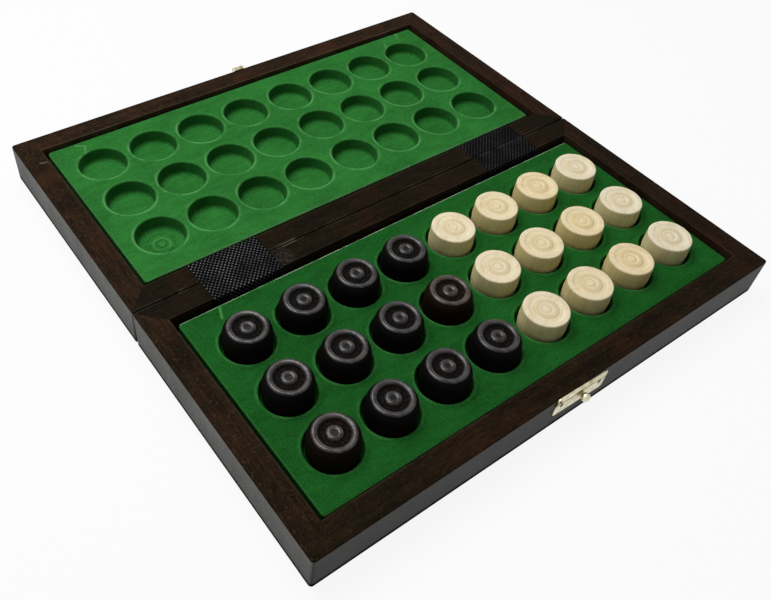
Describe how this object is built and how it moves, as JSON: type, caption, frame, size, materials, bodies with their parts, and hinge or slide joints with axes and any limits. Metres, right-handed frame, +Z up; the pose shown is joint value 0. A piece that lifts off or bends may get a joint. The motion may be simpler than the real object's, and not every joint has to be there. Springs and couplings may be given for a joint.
{
  "type": "folding checkers set",
  "caption": "Shallow wooden case that folds in half on cloth straps, its halves lined with green pocketed sheets that hold turned black and pale checkers.",
  "frame": {"origin": "on the table, under the middle of the hinge line", "axes": "+X along the hinge line, +Y from the tray towards the lid, +Z up"},
  "size_m": [0.35, 0.3615, 0.0384],
  "materials": {
    "stained_wood": "dark brown stain on straight grained wood, satin",
    "panel_board": "dark stained board",
    "dark_veneer": "dark brown veneer, satin lacquer",
    "light_veneer": "pale veneer, satin lacquer",
    "green_flock": "short green flock on a pressed plastic sheet",
    "black_webbing": "coarse woven black webbing",
    "black_wood": "black lacquer on turned wood, satin",
    "pale_wood": "bare turned pale wood with fine grain",
    "pale_brass": "thin pale brass plating on pressed steel, slightly dull",
    "brass_wire": "pale brass plating"
  },
  "bodies": {
    "tray": {"tray_outer_rail": "stained_wood", "tray_right_rail": "stained_wood", "tray_hinge_rail": "stained_wood", "tray_left_rail": "stained_wood", "tray_panel": "panel_board", "tray_light_squares": "light_veneer", "tray_dark_squares": "dark_veneer", "tray_insert": "green_flock", "left_strap": "black_webbing", "right_strap": "black_webbing", "catch_plate": "pale_brass", "catch_stud": "pale_brass", "catch_nails": "brass_wire"},
    "lid": {"lid_outer_rail": "stained_wood", "lid_right_rail": "stained_wood", "lid_hinge_rail": "stained_wood", "lid_left_rail": "stained_wood", "lid_panel": "panel_board", "lid_light_squares": "light_veneer", "lid_dark_squares": "dark_veneer", "lid_insert": "green_flock", "hasp_plate": "pale_brass", "hasp_nails": "brass_wire", "hasp_pin": "brass_wire"},
    "hasp": {"hasp_flap": "pale_brass"},
    "black_checker_01": {"black_checker_01": "black_wood"},
    "black_checker_02": {"black_checker_02": "black_wood"},
    "black_checker_03": {"black_checker_03": "black_wood"},
    "black_checker_04": {"black_checker_04": "black_wood"},
    "black_checker_05": {"black_checker_05": "black_wood"},
    "black_checker_06": {"black_checker_06": "black_wood"},
    "black_checker_07": {"black_checker_07": "black_wood"},
    "black_checker_08": {"black_checker_08": "black_wood"},
    "black_checker_09": {"black_checker_09": "black_wood"},
    "black_checker_10": {"black_checker_10": "black_wood"},
    "black_checker_11": {"black_checker_11": "black_wood"},
    "black_checker_12": {"black_checker_12": "black_wood"},
    "white_checker_01": {"white_checker_01": "pale_wood"},
    "white_checker_02": {"white_checker_02": "pale_wood"},
    "white_checker_03": {"white_checker_03": "pale_wood"},
    "white_checker_04": {"white_checker_04": "pale_wood"},
    "white_checker_05": {"white_checker_05": "pale_wood"},
    "white_checker_06": {"white_checker_06": "pale_wood"},
    "white_checker_07": {"white_checker_07": "pale_wood"},
    "white_checker_08": {"white_checker_08": "pale_wood"},
    "white_checker_09": {"white_checker_09": "pale_wood"},
    "white_checker_10": {"white_checker_10": "pale_wood"},
    "white_checker_11": {"white_checker_11": "pale_wood"},
    "white_checker_12": {"white_checker_12": "pale_wood"}
  },
  "joints": [
    {"name": "lid_fold", "type": "hinge", "parent": "tray", "child": "lid", "pos_m": [0, 0, 0.028], "axis": [-1, 0, 0], "range_deg": [-180, 0], "deforming": ["left_strap", "right_strap"]},
    {"name": "hasp_swing", "type": "hinge", "parent": "lid", "child": "hasp", "pos_m": [0.0034, 0.1775, 0.0265], "axis": [-1, 0, 0], "range_deg": [-180, 0]},
    {"name": "black_checker_01_lift", "type": "slide", "parent": "tray", "child": "black_checker_01", "axis": [0, 0, 1], "range_m": [0, 0.03]},
    {"name": "black_checker_02_lift", "type": "slide", "parent": "tray", "child": "black_checker_02", "axis": [0, 0, 1], "range_m": [0, 0.03]},
    {"name": "black_checker_03_lift", "type": "slide", "parent": "tray", "child": "black_checker_03", "axis": [0, 0, 1], "range_m": [0, 0.03]},
    {"name": "black_checker_04_lift", "type": "slide", "parent": "tray", "child": "black_checker_04", "axis": [0, 0, 1], "range_m": [0, 0.03]},
    {"name": "black_checker_05_lift", "type": "slide", "parent": "tray", "child": "black_checker_05", "axis": [0, 0, 1], "range_m": [0, 0.03]},
    {"name": "black_checker_06_lift", "type": "slide", "parent": "tray", "child": "black_checker_06", "axis": [0, 0, 1], "range_m": [0, 0.03]},
    {"name": "black_checker_07_lift", "type": "slide", "parent": "tray", "child": "black_checker_07", "axis": [0, 0, 1], "range_m": [0, 0.03]},
    {"name": "black_checker_08_lift", "type": "slide", "parent": "tray", "child": "black_checker_08", "axis": [0, 0, 1], "range_m": [0, 0.03]},
    {"name": "black_checker_09_lift", "type": "slide", "parent": "tray", "child": "black_checker_09", "axis": [0, 0, 1], "range_m": [0, 0.03]},
    {"name": "black_checker_10_lift", "type": "slide", "parent": "tray", "child": "black_checker_10", "axis": [0, 0, 1], "range_m": [0, 0.03]},
    {"name": "black_checker_11_lift", "type": "slide", "parent": "tray", "child": "black_checker_11", "axis": [0, 0, 1], "range_m": [0, 0.03]},
    {"name": "black_checker_12_lift", "type": "slide", "parent": "tray", "child": "black_checker_12", "axis": [0, 0, 1], "range_m": [0, 0.03]},
    {"name": "white_checker_01_lift", "type": "slide", "parent": "tray", "child": "white_checker_01", "axis": [0, 0, 1], "range_m": [0, 0.03]},
    {"name": "white_checker_02_lift", "type": "slide", "parent": "tray", "child": "white_checker_02", "axis": [0, 0, 1], "range_m": [0, 0.03]},
    {"name": "white_checker_03_lift", "type": "slide", "parent": "tray", "child": "white_checker_03", "axis": [0, 0, 1], "range_m": [0, 0.03]},
    {"name": "white_checker_04_lift", "type": "slide", "parent": "tray", "child": "white_checker_04", "axis": [0, 0, 1], "range_m": [0, 0.03]},
    {"name": "white_checker_05_lift", "type": "slide", "parent": "tray", "child": "white_checker_05", "axis": [0, 0, 1], "range_m": [0, 0.03]},
    {"name": "white_checker_06_lift", "type": "slide", "parent": "tray", "child": "white_checker_06", "axis": [0, 0, 1], "range_m": [0, 0.03]},
    {"name": "white_checker_07_lift", "type": "slide", "parent": "tray", "child": "white_checker_07", "axis": [0, 0, 1], "range_m": [0, 0.03]},
    {"name": "white_checker_08_lift", "type": "slide", "parent": "tray", "child": "white_checker_08", "axis": [0, 0, 1], "range_m": [0, 0.03]},
    {"name": "white_checker_09_lift", "type": "slide", "parent": "tray", "child": "white_checker_09", "axis": [0, 0, 1], "range_m": [0, 0.03]},
    {"name": "white_checker_10_lift", "type": "slide", "parent": "tray", "child": "white_checker_10", "axis": [0, 0, 1], "range_m": [0, 0.03]},
    {"name": "white_checker_11_lift", "type": "slide", "parent": "tray", "child": "white_checker_11", "axis": [0, 0, 1], "range_m": [0, 0.03]},
    {"name": "white_checker_12_lift", "type": "slide", "parent": "tray", "child": "white_checker_12", "axis": [0, 0, 1], "range_m": [0, 0.03]}
  ]
}
